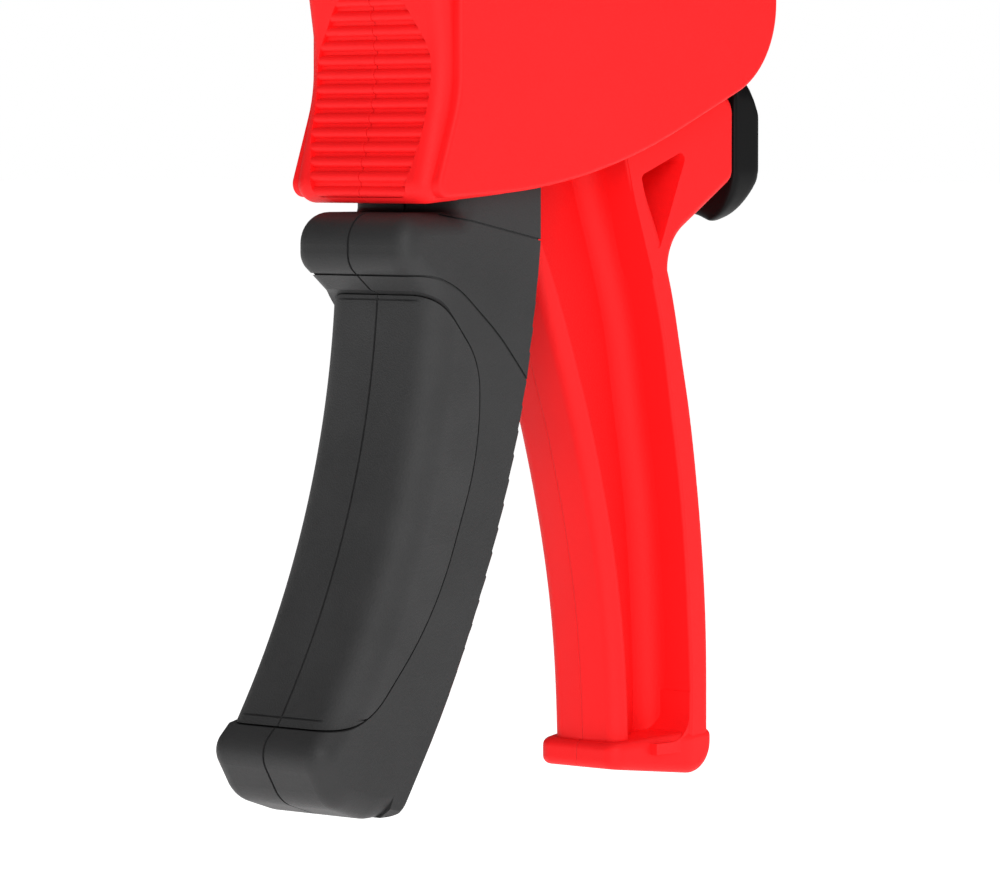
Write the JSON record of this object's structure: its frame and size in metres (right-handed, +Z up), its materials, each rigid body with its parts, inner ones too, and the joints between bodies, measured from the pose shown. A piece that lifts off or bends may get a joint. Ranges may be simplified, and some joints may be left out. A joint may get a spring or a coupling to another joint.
{
  "type": "caulking gun",
  "caption": "Manual caulking gun with a red two-part housing, a black soft-grip handle, a ribbed red trigger, a hexagonal push rod and a swivelling half-round cradle.",
  "frame": {"origin": "on the push rod's axis, in the plane where the cradle turns against the housing's front", "axes": "+X forwards along the push rod towards the nozzle, +Y to the gun's left, +Z up, away from the handle"},
  "size_m": [0.575, 0.0584, 0.2452],
  "materials": {
    "red_plastic": "fine moulded texture",
    "black_plastic": "fine moulded texture",
    "soft_grip": "soft, slightly rough",
    "bright_steel": "zinc plated",
    "spring_steel": "drawn wire",
    "cradle_steel": "satin black paint",
    "bush_plastic": "low-friction plastic"
  },
  "bodies": {
    "frame": {"housing_right": "red_plastic", "housing_left": "red_plastic", "handle_right": "black_plastic", "handle_left": "black_plastic", "grip_pad_right": "soft_grip", "grip_pad_left": "soft_grip", "trigger_pin": "bright_steel", "drive_spring": "spring_steel", "brake_spring": "spring_steel", "spring_stop": "bright_steel", "front_bush": "bush_plastic", "rear_bush": "bush_plastic", "front_bumper": "black_plastic", "swivel_washer": "bush_plastic", "handle_pin": "bright_steel", "housing_screws": "bright_steel", "handle_screws": "bright_steel"},
    "trigger": {"trigger": "red_plastic", "drive_roller": "bright_steel", "roller_pin": "bright_steel"},
    "drive": {"drive_plate_rear": "bright_steel", "drive_plate_front": "bright_steel"},
    "brake": {"brake_plate": "bright_steel", "release_lever": "black_plastic"},
    "rod": {"push_rod": "bright_steel", "piston_plate": "bright_steel", "piston_nut": "bright_steel", "rod_pull": "black_plastic", "pull_pin": "bright_steel"},
    "cradle": {"cradle_collar": "cradle_steel", "cradle_trough": "cradle_steel", "cradle_front_plate": "cradle_steel", "collar_nut": "bright_steel"}
  },
  "joints": [
    {"name": "trigger_squeeze", "type": "hinge", "parent": "frame", "child": "trigger", "pos_m": [-0.04, 0, -0.032], "axis": [0, 1, 0], "range_deg": [0, 21], "stiffness_Nm_per_rad": 1.6, "springref_deg": -20.05},
    {"name": "drive_slide", "type": "slide", "parent": "frame", "child": "drive", "axis": [1, 0, 0], "range_m": [0, 0.005], "deforming": ["drive_spring"]},
    {"name": "brake_release", "type": "hinge", "parent": "frame", "child": "brake", "pos_m": [-0.101, 0, -0.022], "axis": [0, 1, 0], "range_deg": [0, 5.5], "stiffness_Nm_per_rad": 0.6, "springref_deg": -11.46, "deforming": ["brake_spring"]},
    {"name": "rod_slide", "type": "slide", "parent": "frame", "child": "rod", "axis": [1, 0, 0], "range_m": [0, 0.195]},
    {"name": "cradle_swivel", "type": "hinge", "parent": "frame", "child": "cradle", "pos_m": [0, 0, 0], "axis": [1, 0, 0], "continuous": true}
  ],
  "couplings": [
    {"joint": "drive_slide", "follows": "trigger_squeeze", "m_per_rad": 0.013}
  ]
}
